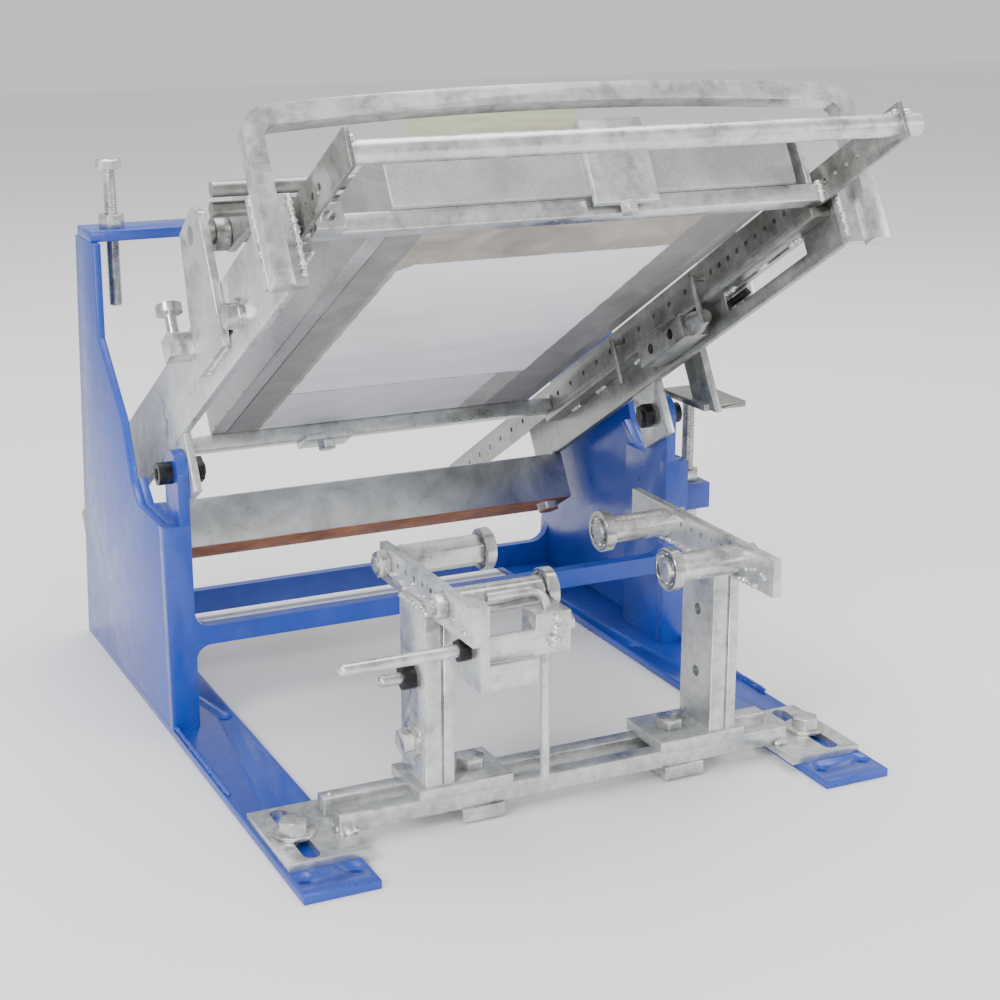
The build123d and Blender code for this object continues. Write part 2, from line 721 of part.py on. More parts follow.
def corner_clamp():
    """Hook plate and low bolt at the right front corner of the screen frame, clear of the handle."""
    y0 = SCREEN_Y0 + 4
    y1 = SCREEN_Y0 + 30
    cap = block(SCREEN_X1 - 18, SCREEN_X1 + 14, y0, y1, SCREEN_HIGH, SCREEN_HIGH + 3)
    web = block(SCREEN_X1 + 10, SCREEN_X1 + 14, y0, y1, BAR_LOW + BAR, SCREEN_HIGH)
    bolt = hex_z(SCREEN_X1 - 4, SCREEN_Y0 + 17, SCREEN_HIGH + 3, SCREEN_HIGH + 8, 13)
    return cap + web + bolt


def bar_end_block():
    """Nut block on the left end of the front bar."""
    block_body = block(-174, -156, FRONT_BAR_Y - 13, FRONT_BAR_Y, 50, 66)
    return block_body - rod_y(-165, FRONT_BAR_Y - 14, FRONT_BAR_Y - 8, 58, 3.5)


def rear_clip():
    """Clip under the rear bar that holds the rear of the screen frame."""
    plate = block(-50, -10, REAR_BAR_Y - 14, REAR_BAR_Y + BAR, BAR_LOW - 5, BAR_LOW)
    return plate + hex_z(-30, REAR_BAR_Y - 2, BAR_LOW - 11, BAR_LOW - 5, 13)


# ---------------------------------------------------------------- screen frame

def screen_frame():
    """Rectangular frame that the mesh is stretched on."""
    outer = block(SCREEN_X0, SCREEN_X1, SCREEN_Y0, SCREEN_Y1, SCREEN_LOW, SCREEN_HIGH)
    inner = block(
        SCREEN_X0 + SCREEN_MEMBER, SCREEN_X1 - SCREEN_MEMBER,
        SCREEN_Y0 + SCREEN_MEMBER, SCREEN_Y1 - SCREEN_MEMBER, SCREEN_LOW - 1, SCREEN_HIGH + 1)
    return outer - inner


def mesh():
    """Stretched mesh glued under the frame, between the carriage bars."""
    edge = 12
    return block(
        SCREEN_X0 + edge, SCREEN_X1 - edge, FRONT_BAR_Y + BAR + 1, REAR_BAR_Y - 1,
        SCREEN_LOW - MESH_THICK, SCREEN_LOW)


def return_spring():
    """Return spring lying in the rear end of the right arm's window, as its outer envelope."""
    outline = Circle(SPRING_R) - Circle(SPRING_R - SPRING_WIRE)
    tube = extrude(outline, SPRING_LENGTH)
    middle = (ARM_IN + ARM_OUT) / 2
    return Pos(middle, WINDOW_REAR, (WINDOW_LOW + WINDOW_HIGH) / 2) * Rot(90, 0, 0) * tube


def both(shape):
    """A left piece and its mirror image in one node."""
    return group(shape, mirrored(shape))


# ---------------------------------------------------------------- write the nodes

save(foot(), "foot_left")
save(mirrored(foot()), "foot_right")
save(side_plate(), "side_plate_left")
save(mirrored(side_plate()), "side_plate_right")
save(both(ear_plate() + shelf()), "ear_plates")
save(yoke(), "front_yoke")
save(rear_crossbar(), "rear_crossbar")
save(stop_arm(), "stop_arm")
save(stop_lug(), "stop_lug")
save(print_stop_bolt(), "print_stop_bolt")
save(tilt_stop_bolt(), "tilt_stop_stud")
save(group(print_stop_nut(), tilt_stop_nuts()), "stop_nuts")
save(both(pivot_screw() + pivot_nut()), "pivot_screws")
save(both(bracket_bolt(-1) + bracket_washer(-1)), "rail_bolts")

save(group(rail_bar(RAIL_FRONT_Y), rail_bar(RAIL_REAR_Y)), "rail_bars")
save(both(rail_bracket()), "rail_brackets")

for label, x, side, holes, plate, (face, tip), step in POSTS:
    front_y = RAIL_MID_Y - ROLLER_SPACING / 2
    rear_y = RAIL_MID_Y + ROLLER_SPACING / 2
    save(post(x, *holes) + post_base(x, side), "post_" + label)
    save(group(post_bolt(x, side), clamp_block(x, side)), "post_clamp_" + label)
    save(carrier(*plate) + carrier_foot(x), "roller_carrier_" + label)
    front_bar = standoff(face, tip, front_y, False)
    rear_bar = standoff(face, tip, rear_y, label == "left")
    save(group(front_bar, rear_bar), "roller_standoffs_" + label)
    save(bearing_outer(tip, step, front_y), "bearing_front_" + label)
    save(bearing_outer(tip, step, rear_y), "bearing_rear_" + label)

save(group(post_side_bolt(LEFT_POST_X, 57), post_stud(LEFT_POST_X, 100)), "post_side_bolts")
save(group(post_stud_nut(LEFT_POST_X, 100), reg_pin_nuts()), "black_nuts")
save(reg_bracket(), "register_bracket")
save(reg_block(), "register_block")
save(reg_rod(), "register_rod")
save(reg_pin(), "register_pin")

save(on_head(left_arm()), "arm_left")
save(on_head(right_arm()), "arm_right")
save(on_head(both(guide_rail())), "guide_bars")
save(on_head(both(hinge_plate())), "hinge_plates")
save(on_head(counterweight() + weight_bolt()), "counterweight")
save(on_head(handle() + arm_end() + mirrored(arm_end())), "handle")
save(on_head(tilt_stop_foot()), "tilt_stop_foot")
save(on_head(stop_block() + stop_boss()), "carriage_stop_block")
save(on_head(group(bracket_fixing(), adjust_screw())), "arm_adjusters")

save(on_head(both(shaft_bracket())), "shaft_brackets")
save(on_head(shaft() + swing_collar() + mirrored(swing_collar())), "squeegee_shaft")
save(on_head(both(swing_arm())), "swing_arms")
save(on_head(group(squeegee_crossbar(UPPER_BAR), squeegee_crossbar(LOWER_BAR))), "squeegee_crossbars")
save(on_head(group(holder_clamp(-44), holder_clamp(32))), "squeegee_clamps")
save(on_head(squeegee_plate()), "squeegee_plate")
save(on_head(squeegee_blade()), "squeegee_blade")
save(on_head(squeegee_grip()), "squeegee_grip")
save(on_head(return_spring()), "return_spring")

save(on_head(both(side_strip())), "carriage_strips")
save(on_head(group(front_rod(), rod_end())), "carriage_rod")
save(on_head(group(carriage_bar(FRONT_BAR_Y), carriage_bar(REAR_BAR_Y))), "carriage_bars")
save(on_head(group(stop_pin(STOP_PIN_FRONT), stop_pin(STOP_PIN_REAR))), "carriage_stop_pins")
save(on_head(group(screen_clamp(), corner_clamp(), bar_end_block(), rear_clip())), "screen_clamps")
save(on_head(screen_frame()), "screen_frame")
save(on_head(mesh()), "screen_mesh")
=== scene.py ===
import json
import math
import random

import bmesh
import bpy
from mathutils import Matrix, Vector, noise


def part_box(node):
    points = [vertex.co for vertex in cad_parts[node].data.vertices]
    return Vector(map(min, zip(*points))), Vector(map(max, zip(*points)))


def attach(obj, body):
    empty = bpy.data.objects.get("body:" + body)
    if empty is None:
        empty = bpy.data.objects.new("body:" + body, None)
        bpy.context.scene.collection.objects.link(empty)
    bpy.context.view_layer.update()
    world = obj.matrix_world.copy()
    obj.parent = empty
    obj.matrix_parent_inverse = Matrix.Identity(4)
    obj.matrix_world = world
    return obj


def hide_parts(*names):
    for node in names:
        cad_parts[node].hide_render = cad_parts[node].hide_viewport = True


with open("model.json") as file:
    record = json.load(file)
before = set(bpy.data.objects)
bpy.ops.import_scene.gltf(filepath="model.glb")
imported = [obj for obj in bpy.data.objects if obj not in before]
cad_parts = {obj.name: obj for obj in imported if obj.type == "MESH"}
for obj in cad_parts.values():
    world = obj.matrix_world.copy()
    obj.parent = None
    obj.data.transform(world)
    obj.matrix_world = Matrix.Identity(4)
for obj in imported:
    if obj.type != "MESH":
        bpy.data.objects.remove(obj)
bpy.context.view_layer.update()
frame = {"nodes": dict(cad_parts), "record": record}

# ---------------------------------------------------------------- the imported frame
# Every place below comes from a node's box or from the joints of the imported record.

RECORD = frame["record"]
JOINTS = {joint["name"]: joint for joint in RECORD["behaviour"]["joints"]}
NODE_SLOT = {part["node"]: part["material_slot"] for part in RECORD["subparts"]}
NODE_BODY = {node: body for body, nodes in RECORD["behaviour"]["bodies"].items() for node in nodes}
PIVOT = Vector(JOINTS["head_tilt"]["pos_m"])
SLIDE = Vector(JOINTS["screen_slide"]["axis"])
TILT = math.atan2(SLIDE.z, -SLIDE.y)
HEAD = Matrix.Translation(PIVOT) @ Matrix.Rotation(-TILT, 4, "X")
MM = 0.001


def mm(*values):
    """A vector given in millimetres."""
    return Vector(values) * MM


def head_point(x, y, z):
    """A place on the head, in millimetres from the pivot with the head lowered, as a place in the scene."""
    return HEAD @ mm(x, y, z)


# ---------------------------------------------------------------- material helpers

class Shader:
    """A small wrapper that builds one node material."""

    def __init__(self, name):
        self.material = bpy.data.materials.new(name)
        self.material.use_nodes = True
        self.tree = self.material.node_tree
        self.bsdf = self.tree.nodes["Principled BSDF"]
        self.coords = self.tree.nodes.new("ShaderNodeTexCoord")

    def link(self, source, target):
        self.tree.links.new(source, target)

    def place(self, scale=(1, 1, 1), turn=(0, 0, 0)):
        """Object coordinates, stretched and turned."""
        mapping = self.tree.nodes.new("ShaderNodeMapping")
        mapping.inputs["Scale"].default_value = scale
        mapping.inputs["Rotation"].default_value = turn
        self.link(self.coords.outputs["Object"], mapping.inputs["Vector"])
        return mapping.outputs["Vector"]

    def noise(self, scale, detail=4, rough=0.55, where=None, distortion=0.0):
        node = self.tree.nodes.new("ShaderNodeTexNoise")
        node.inputs["Scale"].default_value = scale
        node.inputs["Detail"].default_value = detail
        node.inputs["Roughness"].default_value = rough
        node.inputs["Distortion"].default_value = distortion
        self.link(where or self.coords.outputs["Object"], node.inputs["Vector"])
        return node.outputs["Fac"]

    def ramp(self, fac, stops):
        """Colour ramp; stops are (position, colour or grey)."""
        node = self.tree.nodes.new("ShaderNodeValToRGB")
        elements = node.color_ramp.elements
        while len(elements) < len(stops):
            elements.new(0.5)
        for element, (position, colour) in zip(elements, stops):
            element.position = position
            if isinstance(colour, (int, float)):
                colour = (colour, colour, colour)
            element.color = (*colour, 1)
        self.link(fac, node.inputs["Fac"])
        return node.outputs["Color"]

    def mix(self, fac, a, b, kind="MIX"):
        node = self.tree.nodes.new("ShaderNodeMix")
        node.data_type = "RGBA"
        node.blend_type = kind
        for value, socket in ((fac, node.inputs["Factor"]), (a, node.inputs["A"]), (b, node.inputs["B"])):
            if isinstance(value, (int, float)):
                socket.default_value = value
            elif isinstance(value, tuple):
                socket.default_value = (*value, 1)
            else:
                self.link(value, socket)
        return node.outputs["Result"]

    def math(self, operation, a, b=0.0, clamp=False):
        node = self.tree.nodes.new("ShaderNodeMath")
        node.operation = operation
        node.use_clamp = clamp
        for value, socket in ((a, node.inputs[0]), (b, node.inputs[1])):
            if isinstance(value, (int, float)):
                socket.default_value = value
            else:
                self.link(value, socket)
        return node.outputs["Value"]

    def spread(self, fac, low, high, from_low=0.3, from_high=0.7):
        """Map a noise value to a range."""
        node = self.tree.nodes.new("ShaderNodeMapRange")
        node.inputs["From Min"].default_value = from_low
        node.inputs["From Max"].default_value = from_high
        node.inputs["To Min"].default_value = low
        node.inputs["To Max"].default_value = high
        self.link(fac, node.inputs["Value"])
        return node.outputs["Result"]

    def facing(self, direction):
        """How much a face looks along one fixed direction of its own object."""
        dot = self.tree.nodes.new("ShaderNodeVectorMath")
        dot.operation = "DOT_PRODUCT"
        dot.inputs[1].default_value = direction
        self.link(self.coords.outputs["Normal"], dot.inputs[0])
        return dot.outputs["Value"]

    def axis(self, letter):
        """One object coordinate."""
        split = self.tree.nodes.new("ShaderNodeSeparateXYZ")
        self.link(self.coords.outputs["Object"], split.inputs["Vector"])
        return split.outputs[letter]

    def bump(self, heights):
        """Chain of bumps; heights are (value, strength, distance in metres)."""
        normal = None
        for value, strength, distance in heights:
            node = self.tree.nodes.new("ShaderNodeBump")
            node.inputs["Strength"].default_value = strength
            node.inputs["Distance"].default_value = distance
            self.link(value, node.inputs["Height"])
            if normal is not None:
                self.link(normal, node.inputs["Normal"])
            normal = node.outputs["Normal"]
        self.link(normal, self.bsdf.inputs["Normal"])

    def set(self, **values):
        for name, value in values.items():
            socket = self.bsdf.inputs[name.replace("_", " ")]
            if isinstance(value, tuple):
                socket.default_value = (*value, 1)
            elif isinstance(value, (int, float)):
                socket.default_value = value
            else:
                self.link(value, socket)


def zinc(name, dark, middle, light, rough=(0.28, 0.5), metal=0.85, rust=0.0):
    """Zinc plated steel: cloudy patches, fine drawing lines, small stains and a few rust freckles."""
    s = Shader(name)
    clouds = s.noise(34, 6, 0.66, distortion=0.5)
    spangle = s.noise(160, 4, 0.6)
    drawn = s.noise(60, 4, 0.6, s.place((0.2, 14, 14)))
    colour = s.ramp(clouds, [(0.30, dark), (0.48, middle), (0.66, light)])
    colour = s.mix(0.35, colour, s.ramp(spangle, [(0.35, 0.42), (0.65, 0.86)]), "OVERLAY")
    colour = s.mix(0.16, colour, s.ramp(drawn, [(0.3, 0.3), (0.7, 0.95)]), "OVERLAY")
    stains = s.ramp(s.noise(34, 6, 0.68, distortion=1.2), [(0.60, 0.0), (0.72, 1.0)])
    colour = s.mix(s.math("MULTIPLY", stains, 0.28), colour, tuple(0.6 * c for c in dark))
    freckles = s.ramp(s.noise(150, 5, 0.7), [(0.66, 0.0), (0.74, 1.0)])
    colour = s.mix(s.math("MULTIPLY", freckles, 0.25 + rust), colour, (0.23, 0.13, 0.07))
    s.set(Base_Color=colour, Metallic=metal)
    s.set(Roughness=s.math("ADD", s.spread(clouds, rough[0], rough[1]), s.spread(spangle, -0.05, 0.07)))
    s.bump([(drawn, 0.1, 0.0004), (spangle, 0.18, 0.0006), (s.noise(900, 2), 0.12, 0.0002)])
    return s.material


def blue_paint():
    """Blue enamel sprayed over rough steel: soft unevenness, rubbed places and a few chips."""
    s = Shader("blue_enamel")
    patches = s.noise(6, 5, 0.6)
    fine = s.noise(70, 4, 0.6)
    colour = s.ramp(patches, [(0.3, (0.008, 0.040, 0.300)), (0.55, (0.011, 0.055, 0.390)), (0.75, (0.016, 0.075, 0.460))])
    colour = s.mix(s.math("MULTIPLY", s.ramp(fine, [(0.52, 0.0), (0.72, 1.0)]), 0.3), colour, (0.022, 0.095, 0.50))
    dust = s.ramp(s.noise(28, 7, 0.7, distortion=0.8), [(0.58, 0.0), (0.78, 1.0)])
    colour = s.mix(s.math("MULTIPLY", dust, 0.12), colour, (0.12, 0.16, 0.34))
    chips = s.ramp(s.noise(120, 6, 0.75), [(0.745, 0.0), (0.765, 1.0)])
    colour = s.mix(s.math("MULTIPLY", chips, 0.6), colour, (0.35, 0.36, 0.38))
    s.set(Base_Color=colour, Metallic=0.0, Coat_Weight=0.35, Coat_Roughness=0.18)
    s.set(Roughness=s.spread(fine, 0.26, 0.42))
    s.bump([(s.noise(260, 3, 0.5), 0.16, 0.0006), (patches, 0.12, 0.003), (chips, 0.2, 0.0003)])
    return s.material


def weight_steel():
    """Counterweight bar: dull silver on its sides, rust brown underneath."""
    s = Shader("weight_steel")
    clouds = s.noise(28, 6, 0.68, distortion=0.7)
    silver = s.ramp(clouds, [(0.32, (0.36, 0.37, 0.38)), (0.5, (0.50, 0.52, 0.53)), (0.68, (0.64, 0.66, 0.67))])
    pits = s.ramp(s.noise(60, 7, 0.75, distortion=1.0), [(0.6, 0.0), (0.7, 1.0)])
    silver = s.mix(s.math("MULTIPLY", pits, 0.55), silver, (0.20, 0.19, 0.18))
    rust = s.ramp(s.noise(26, 7, 0.7), [(0.3, (0.16, 0.055, 0.02)), (0.5, (0.34, 0.12, 0.045)), (0.7, (0.50, 0.22, 0.10))])
    down = HEAD.to_3x3() @ Vector((0, 0, -1))
    edge = s.math("ADD", s.facing(down), s.spread(s.noise(45, 4), -0.14, 0.14))
    under = s.ramp(edge, [(0.55, 0.0), (0.8, 1.0)])
    s.set(Base_Color=s.mix(under, silver, rust))
    s.set(Metallic=s.math("SUBTRACT", 0.85, s.math("MULTIPLY", under, 0.6)))
    s.set(Roughness=s.math("ADD", s.spread(clouds, 0.3, 0.46), s.math("MULTIPLY", under, 0.25)))
    s.bump([(s.noise(180, 5, 0.65), 0.3, 0.0006), (clouds, 0.25, 0.0015)])
    return s.material


def black_oxide():
    """Blackened steel with oily variation and worn lighter patches."""
    s = Shader("black_oxide")
    patches = s.noise(130, 5, 0.6)
    colour = s.ramp(patches, [(0.35, (0.012, 0.012, 0.014)), (0.6, (0.035, 0.035, 0.04)), (0.75, (0.12, 0.12, 0.125))])
    s.set(Base_Color=colour, Metallic=0.75, Roughness=s.spread(patches, 0.28, 0.5))
    s.bump([(s.noise(700, 3), 0.2, 0.0002)])
    return s.material


def bearing_steel():
    """Ground ring steel with fine turning lines."""
    s = Shader("bearing_steel")
    lines = s.noise(500, 3, 0.5, s.place((6, 0.6, 0.6)))
    patches = s.noise(80, 4)
    colour = s.ramp(patches, [(0.3, (0.42, 0.42, 0.41)), (0.7, (0.74, 0.74, 0.73))])
    s.set(Base_Color=colour, Metallic=1.0, Roughness=s.spread(patches, 0.16, 0.34))
    s.bump([(lines, 0.12, 0.0002)])
    return s.material


def frame_aluminium():
    """Mill finish aluminium profile, stained by old ink and emulsion, with long extrusion lines."""
    s = Shader("frame_aluminium")
    clouds = s.noise(9, 5, 0.6, distortion=0.5)
    lines = s.noise(40, 4, 0.6, s.place((12, 0.25, 12)))
    colour = s.ramp(clouds, [(0.3, (0.30, 0.295, 0.29)), (0.52, (0.44, 0.435, 0.44)), (0.7, (0.60, 0.60, 0.62))])
    colour = s.mix(0.2, colour, s.ramp(lines, [(0.3, 0.35), (0.7, 0.95)]), "OVERLAY")
    stains = s.ramp(s.noise(22, 7, 0.72, distortion=1.5), [(0.55, 0.0), (0.7, 1.0)])
    colour = s.mix(s.math("MULTIPLY", stains, 0.3), colour, (0.36, 0.30, 0.25))
    s.set(Base_Color=colour, Metallic=0.7)
    s.set(Roughness=s.spread(clouds, 0.34, 0.55))
    s.bump([(lines, 0.12, 0.0004), (s.noise(300, 4), 0.12, 0.0003)])
    return s.material


def screen_mesh_fabric():
    """White woven mesh: glued and stained edges, a taped band at the front and a ruled line near the rear.

    The piece's own coordinates are the head's, so the bands sit at fixed places along X and Y.
    """
    s = Shader("screen_mesh_fabric")

    def past(letter, edge, sign, soft=0.0008):
        """1 beyond an edge, 0 before it, with a short blend."""
        away = s.math("MULTIPLY", s.math("SUBTRACT", s.axis(letter), edge), sign)
        return s.spread(s.math("ADD", away, wobble), 0.0, 1.0, -soft, soft)

    wobble = s.spread(s.noise(60, 3), -0.0007, 0.0007)
    soft = s.noise(9, 4, 0.5, s.place((0.6, 2.2, 1)), 0.6)
    stain = s.noise(24, 6, 0.7, distortion=1.0)
    white = s.ramp(soft, [(0.32, (0.78, 0.77, 0.80)), (0.5, (0.88, 0.88, 0.91)), (0.66, (0.94, 0.94, 0.96))])
    side = s.ramp(stain, [(0.3, (0.12, 0.115, 0.11)), (0.5, (0.19, 0.185, 0.18)), (0.7, (0.27, 0.26, 0.26))])
    tape = s.ramp(stain, [(0.3, (0.22, 0.19, 0.155)), (0.5, (0.32, 0.285, 0.24)), (0.7, (0.44, 0.41, 0.37))])
    rear = s.ramp(stain, [(0.3, (0.66, 0.67, 0.69)), (0.6, (0.78, 0.79, 0.82)), (0.8, (0.86, 0.87, 0.89))])
    corner = s.math("ADD", past("X", -0.079, -1, 0.006), past("Y", -0.200, -1, 0.006))
    colour = s.mix(past("Y", 0.054, 1), white, rear)
    line = s.math("MULTIPLY", past("Y", 0.0538, 1, 0.0004), past("Y", 0.0552, -1, 0.0004))
    colour = s.mix(s.math("MULTIPLY", line, 0.75), colour, (0.16, 0.15, 0.16))
    colour = s.mix(s.math("MULTIPLY", s.math("MULTIPLY", past("Y", 0.055, 1), past("X", 0.090, 1)), 0.8), colour, tape)
    colour = s.mix(past("Y", -0.208, -1), colour, tape)
    colour = s.mix(s.math("MULTIPLY", past("Y", -0.208, -1), past("X", 0.083, 1)), colour, rear)
    colour = s.mix(s.ramp(corner, [(0.78, 0.0), (0.86, 1.0)]), colour, tape)
    colour = s.mix(past("X", -0.0865, -1), colour, side)
    colour = s.mix(past("X", 0.1135, 1), colour, side)
    weave_x = s.math("SINE", s.math("MULTIPLY", s.axis("X"), 5200.0))
    weave_y = s.math("SINE", s.math("MULTIPLY", s.axis("Y"), 5200.0))
    s.set(Base_Color=colour, Metallic=0.0)
    s.set(Roughness=s.spread(stain, 0.4, 0.6), Sheen_Weight=0.15)
    s.bump([(s.math("MULTIPLY", weave_x, weave_y), 0.2, 0.0001), (stain, 0.12, 0.0006)])
    return s.material


def rubber():
    """Dull blade rubber with patchy tone."""
    s = Shader("blade_rubber")
    patches = s.noise(60, 5, 0.6)
    colour = s.ramp(patches, [(0.3, (0.10, 0.09, 0.08)), (0.7, (0.24, 0.23, 0.21))])
    s.set(Base_Color=colour, Roughness=s.spread(patches, 0.45, 0.65))
    s.bump([(s.noise(400, 3), 0.2, 0.0003)])
    return s.material


def cream_grip():
    """Cream painted grip with darker random patches and fine grain."""
    s = Shader("cream_grip")
    grain = s.noise(50, 5, 0.6, s.place((0.6, 9, 9)))
    patches = s.noise(18, 6, 0.7, distortion=0.8)
    colour = s.ramp(grain, [(0.3, (0.50, 0.51, 0.33)), (0.6, (0.62, 0.63, 0.45)), (0.8, (0.70, 0.71, 0.56))])
    colour = s.mix(s.math("MULTIPLY", s.ramp(patches, [(0.56, 0.0), (0.7, 1.0)]), 0.45), colour, (0.40, 0.38, 0.27))
    s.set(Base_Color=colour, Roughness=s.spread(patches, 0.38, 0.55))
    s.bump([(grain, 0.15, 0.0005), (s.noise(500, 3), 0.1, 0.0002)])
    return s.material


def board_paint():
    """The painted board under the grip: cream edges, its broad front face grey."""
    s = Shader("board_paint")
    patches = s.noise(30, 6, 0.7, distortion=0.8)
    cream = s.ramp(patches, [(0.3, (0.50, 0.51, 0.33)), (0.7, (0.66, 0.67, 0.50))])
    front_grey = s.ramp(patches, [(0.3, (0.13, 0.13, 0.12)), (0.5, (0.24, 0.24, 0.22)), (0.7, (0.40, 0.40, 0.37))])
    front = HEAD.to_3x3() @ Vector((0, -1, 0))
    # faces turned towards the head's front are painted grey, the rest cream
    face = s.ramp(s.math("ADD", s.facing(front), s.spread(patches, -0.1, 0.1)), [(0.6, 0.0), (0.8, 1.0)])
    s.set(Base_Color=s.mix(face, cream, front_grey), Roughness=s.spread(patches, 0.4, 0.6))
    s.bump([(patches, 0.15, 0.0005), (s.noise(400, 3), 0.1, 0.0002)])
    return s.material


def weld_metal():
    """Bare weld: bright rippled metal with brown heat spots."""
    s = Shader("weld_metal")
    patches = s.noise(240, 5, 0.65)
    colour = s.ramp(patches, [(0.3, (0.40, 0.40, 0.39)), (0.55, (0.72, 0.72, 0.71)), (0.75, (0.90, 0.90, 0.90))])
    heat = s.ramp(s.noise(120, 4, 0.6), [(0.64, 0.0), (0.72, 1.0)])
    colour = s.mix(s.math("MULTIPLY", heat, 0.4), colour, (0.25, 0.16, 0.09))
    s.set(Base_Color=colour, Metallic=0.8, Roughness=s.spread(patches, 0.2, 0.42))
    s.bump([(s.noise(600, 4), 0.35, 0.0004)])
    return s.material


def floor_material():
    """Pale matt studio floor with a barely visible tone change."""
    s = Shader("studio_floor")
    s.set(Base_Color=s.ramp(s.noise(0.7, 2), [(0.3, 0.86), (0.7, 0.9)]), Roughness=0.85)
    return s.material


MATERIALS = {
    "blue_paint": blue_paint(),
    "zinc_steel": zinc("zinc_light", (0.36, 0.375, 0.36), (0.50, 0.52, 0.505), (0.64, 0.66, 0.65), (0.24, 0.42), 0.85),
    "zinc_dark": zinc("zinc_dull", (0.17, 0.175, 0.16), (0.25, 0.255, 0.24), (0.35, 0.36, 0.34), (0.26, 0.44), 0.9),
    "weight_steel": weight_steel(),
    "fasteners": zinc("bright_fasteners", (0.30, 0.31, 0.29), (0.48, 0.49, 0.47), (0.68, 0.69, 0.68), (0.16, 0.34)),
    "black_hardware": black_oxide(),
    "bearing_steel": bearing_steel(),
    "frame_aluminium": frame_aluminium(),
    "mesh_fabric": screen_mesh_fabric(),
    "blade_rubber": rubber(),
    "grip_cream": cream_grip(),
}
WELD = weld_metal()

# ---------------------------------------------------------------- mesh helpers

def add_piece(name, mesh, material, body, matrix=None, replaces=()):
    """Link a mesh as a piece that rides on a body."""
    piece = bpy.data.objects.new(name, mesh)
    bpy.context.scene.collection.objects.link(piece)
    if matrix is not None:
        piece.matrix_world = matrix
    mesh.materials.clear()
    mesh.materials.append(material)
    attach(piece, body)
    if replaces:
        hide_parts(*replaces)
    return piece


def smooth(mesh, degrees=35):
    """Smooth shading that keeps edges sharper than the angle."""
    mesh.shade_smooth()
    mesh.set_sharp_from_angle(angle=math.radians(degrees))


def soften(node, width=0.5 * MM, material=None):
    """The node's own shape with its long hard edges rounded; it stands for the CAD node."""
    source = frame["nodes"][node]
    work = bmesh.new()
    work.from_mesh(source.data)
    work.transform(source.matrix_world)
    bmesh.ops.remove_doubles(work, verts=work.verts, dist=0.002 * MM)
    bmesh.ops.dissolve_limit(work, angle_limit=math.radians(0.6), verts=work.verts, edges=work.edges)
    hard = []
    for edge in work.edges:
        if len(edge.link_faces) == 2 and edge.calc_face_angle() > math.radians(40) and edge.calc_length() > 4 * width:
            hard.append(edge)
    bmesh.ops.bevel(
        work, geom=hard, offset=width, offset_type="OFFSET", segments=2, profile=0.5, affect="EDGES",
        clamp_overlap=True)
    mesh = bpy.data.meshes.new(node + "_soft")
    work.to_mesh(mesh)
    work.free()
    smooth(mesh)
    slot = NODE_SLOT[node]
    return add_piece(node + "_soft", mesh, material or MATERIALS[slot], NODE_BODY[node], replaces=(node,))


# ---------------------------------------------------------------- finish of every carried-over node

SOFTENED = {
    "foot_left": 0.7, "foot_right": 0.7, "side_plate_left": 0.7, "side_plate_right": 0.7, "ear_plates": 0.8,
    "front_yoke": 0.9, "rear_crossbar": 0.8, "stop_arm": 0.9, "stop_lug": 0.8, "rail_bars": 0.6,
    "rail_brackets": 0.6, "post_left": 0.6, "post_right": 0.6, "roller_carrier_left": 0.6,
    "roller_carrier_right": 0.6, "register_bracket": 0.5, "register_block": 0.6, "arm_left": 0.7,
    "arm_right": 0.7, "guide_bars": 0.5, "hinge_plates": 0.6, "counterweight": 1.2, "handle": 1.4,
    "tilt_stop_foot": 0.6, "carriage_stop_block": 0.7, "shaft_brackets": 0.8, "swing_arms": 0.6,
    "squeegee_clamps": 0.8, "squeegee_plate": 0.5, "carriage_strips": 0.5, "carriage_bars": 0.9,
    "screen_clamps": 0.8, "screen_frame": 1.2,
}
for node, part in frame["nodes"].items():
    for material_slot in part.material_slots:
        material_slot.material = MATERIALS[NODE_SLOT[node]]
BOARD = board_paint()
OWN_FINISH = {"squeegee_plate": BOARD}
SHAPED_BELOW = {
    "print_stop_bolt", "tilt_stop_stud", "bearing_front_left", "bearing_front_right", "bearing_rear_left",
    "bearing_rear_right", "return_spring", "screen_mesh",
}
for node in frame["nodes"]:
    if node not in SHAPED_BELOW:
        soften(node, SOFTENED.get(node, 0.35) * MM, OWN_FINISH.get(node))

# ---------------------------------------------------------------- pieces with more detail than the CAD nodes

def helix_rod(work, radius, low, high, pitch, depth):
    """Add a screw thread along local Z to a bmesh, closed at both ends."""
    around = 28
    rows = max(4, int((high - low) / pitch * 7))
    rings = []
    for row in range(rows + 1):
        z = low + (high - low) * row / rows
        taper = min(1.0, (min(z - low, high - z) + 0.2 * MM) / (0.9 * MM))
        ring = []
        for step in range(around):
            turn = step / around
            phase = (z / pitch - turn) % 1.0
            groove = depth * (1 - abs(2 * phase - 1))
            reach = (radius - groove) * (0.86 + 0.14 * taper)
            ring.append(work.verts.new((reach * math.cos(math.tau * turn), reach * math.sin(math.tau * turn), z)))
        rings.append(ring)
    for lower, upper in zip(rings, rings[1:]):
        for step in range(around):
            after = (step + 1) % around
            work.faces.new((lower[step], lower[after], upper[after], upper[step]))
    work.faces.new(reversed(rings[0]))
    work.faces.new(rings[-1])


